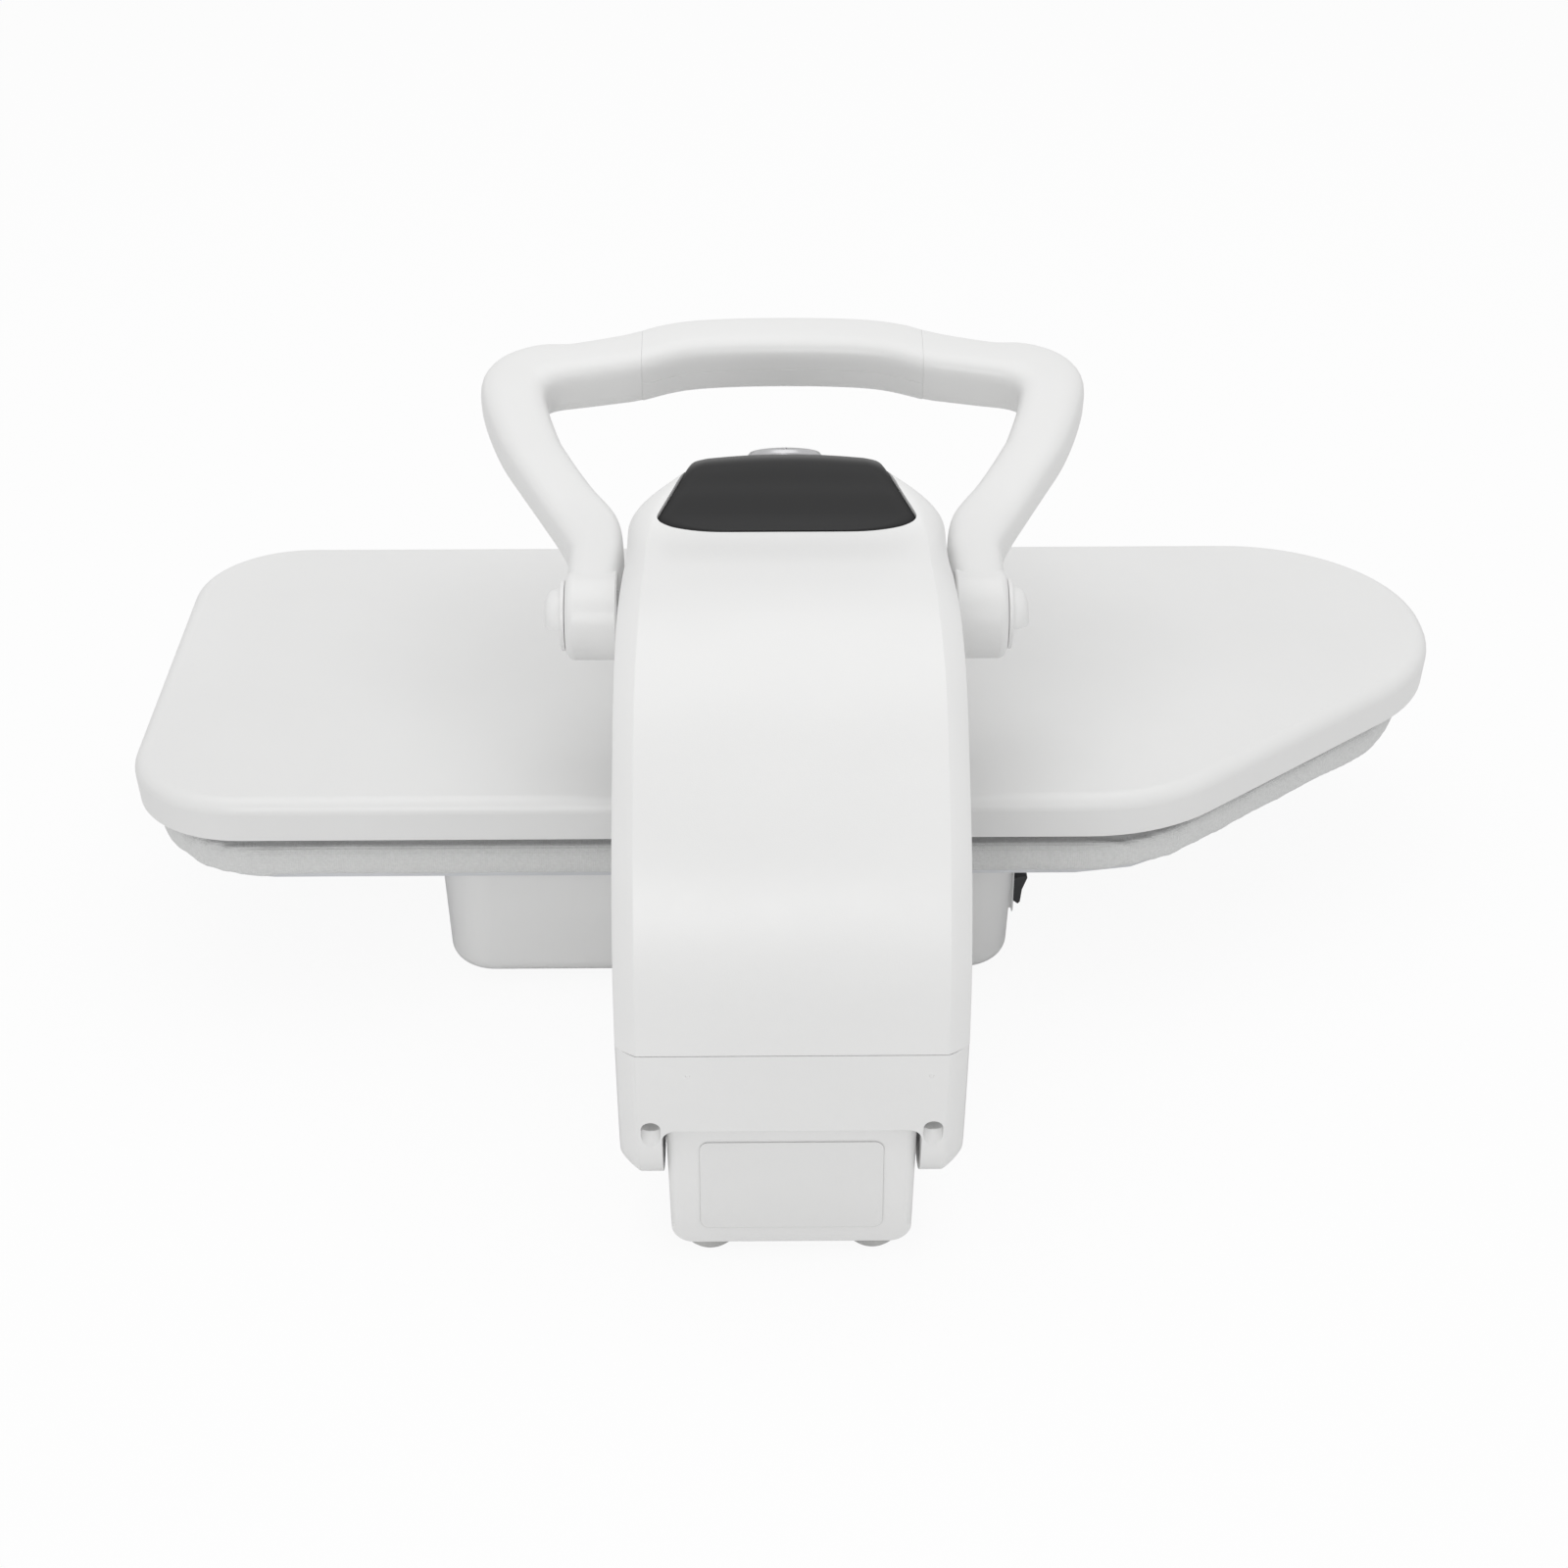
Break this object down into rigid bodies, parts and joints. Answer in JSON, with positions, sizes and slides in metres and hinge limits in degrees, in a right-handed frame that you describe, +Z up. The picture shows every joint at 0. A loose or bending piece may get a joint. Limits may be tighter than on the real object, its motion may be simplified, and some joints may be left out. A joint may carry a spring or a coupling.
{
  "type": "steam ironing press",
  "caption": "Tabletop steam ironing press: a long padded board under a heated pressing shoe on a hinged curved arm, with a turning grip, control panel and slide-out water tank.",
  "frame": {"origin": "centre of the bounding box in plan, at the level of the feet's undersides", "axes": "+X along the board towards its square end (the pointed end is at -X), +Y towards the rear hinge, +Z up, with the arm closed"},
  "size_m": [0.6686, 0.4962, 0.2833],
  "materials": {
    "white_plastic": "satin moulded white plastic",
    "grey_cloth": "pale grey padded cloth cover",
    "black_gloss": "satin black plastic",
    "black_plastic": "black moulded plastic",
    "silver": "satin silver",
    "zinc_steel": "zinc plated steel",
    "cast_aluminium": "bare cast aluminium",
    "spring_steel": "dark drawn steel",
    "bronze": "sintered bronze",
    "brass": "turned brass",
    "pale_rubber": "pale grey rubber",
    "clear_grey": "clear grey tinted plastic",
    "board_green": "green circuit board",
    "label": "pale film label with no text"
  },
  "bodies": {
    "base": {"base_housing": "white_plastic", "base_floor": "white_plastic", "post_floor": "white_plastic", "foot_front_left": "pale_rubber", "foot_front_right": "pale_rubber", "foot_rear_left": "pale_rubber", "foot_rear_right": "pale_rubber", "hinge_post": "white_plastic", "rating_plate": "label", "base_frame": "zinc_steel", "hinge_shaft": "zinc_steel", "lift_spring_left": "spring_steel", "lift_spring_right": "spring_steel", "switch_bezel": "white_plastic", "cord_gland": "black_plastic", "water_pump": "black_plastic", "power_board": "board_green", "tank_guide": "white_plastic", "tank_valve_seat": "pale_rubber", "feed_hose": "pale_rubber", "board_tray": "zinc_steel", "board_pad": "grey_cloth"},
    "arm": {"arm_rear_cover": "white_plastic", "arm_inner_cover": "white_plastic", "arm_lower_cover": "white_plastic", "cover_screw_left": "zinc_steel", "cover_screw_right": "zinc_steel", "hinge_bush_left": "bronze", "hinge_bush_right": "bronze", "arm_frame": "zinc_steel", "shoe_mount": "cast_aluminium", "shoe_pin": "zinc_steel", "handle_shaft": "zinc_steel", "control_panel": "black_gloss", "display_window": "black_gloss", "control_board": "board_green", "board_carrier": "black_plastic"},
    "shoe": {"shoe_cover": "white_plastic", "heating_plate": "cast_aluminium", "steam_chamber_lid": "cast_aluminium", "heating_element": "spring_steel", "thermostat": "black_plastic", "thermal_fuse": "silver", "heat_shield": "zinc_steel", "steam_inlet": "brass", "shoe_bracket": "zinc_steel"},
    "handle": {"handle_leg_left": "white_plastic", "handle_leg_right": "white_plastic", "grip_upper": "white_plastic", "grip_lower": "white_plastic", "handle_core": "zinc_steel"},
    "lock_left": {"lock_knob_left": "white_plastic"},
    "lock_right": {"lock_knob_right": "white_plastic"},
    "dial": {"dial": "silver"},
    "power_button": {"power_button": "silver"},
    "steam_button": {"steam_button": "silver"},
    "rocker": {"rocker": "black_plastic"},
    "tank": {"water_tank": "clear_grey", "tank_lid": "clear_grey"}
  },
  "joints": [
    {"name": "arm_hinge", "type": "hinge", "parent": "base", "child": "arm", "pos_m": [0.01125, 0.2001, 0.07], "axis": [-1, 0, 0], "range_deg": [0, 32], "stiffness_Nm_per_rad": 4, "springref_deg": 148.97},
    {"name": "shoe_tilt", "type": "hinge", "parent": "arm", "child": "shoe", "pos_m": [0.01125, -0.0779, 0.145], "axis": [1, 0, 0], "range_deg": [0, 3.5]},
    {"name": "handle_pivot", "type": "hinge", "parent": "arm", "child": "handle", "pos_m": [0.01125, 0.0201, 0.211], "axis": [-1, 0, 0], "range_deg": [-24, 50]},
    {"name": "lock_left_turn", "type": "hinge", "parent": "handle", "child": "lock_left", "pos_m": [-0.09225, 0.0201, 0.211], "axis": [1, 0, 0], "range_deg": [0, 90]},
    {"name": "lock_right_turn", "type": "hinge", "parent": "handle", "child": "lock_right", "pos_m": [0.11475, 0.0201, 0.211], "axis": [1, 0, 0], "range_deg": [0, 90]},
    {"name": "dial_turn", "type": "hinge", "parent": "arm", "child": "dial", "pos_m": [0.01125, -0.04976, 0.2585], "axis": [0, -0.4667, 0.8844], "range_deg": [0, 270]},
    {"name": "power_press", "type": "slide", "parent": "arm", "child": "power_button", "axis": [0, 0.5515, -0.8342], "range_m": [0, 0.001], "stiffness_N_per_m": 400, "springref_m": -0.001},
    {"name": "steam_press", "type": "slide", "parent": "arm", "child": "steam_button", "axis": [0, 0.5515, -0.8342], "range_m": [0, 0.001], "stiffness_N_per_m": 400, "springref_m": -0.001},
    {"name": "rocker_tip", "type": "hinge", "parent": "base", "child": "rocker", "pos_m": [-0.09885, -0.0149, 0.041], "axis": [0, 1, 0], "range_deg": [0, 26]},
    {"name": "tank_slide", "type": "slide", "parent": "base", "child": "tank", "axis": [0, -1, 0], "range_m": [0, 0.085]}
  ],
  "couplings": [
    {"joint": "shoe_tilt", "follows": "arm_hinge", "ratio": 0.1}
  ]
}
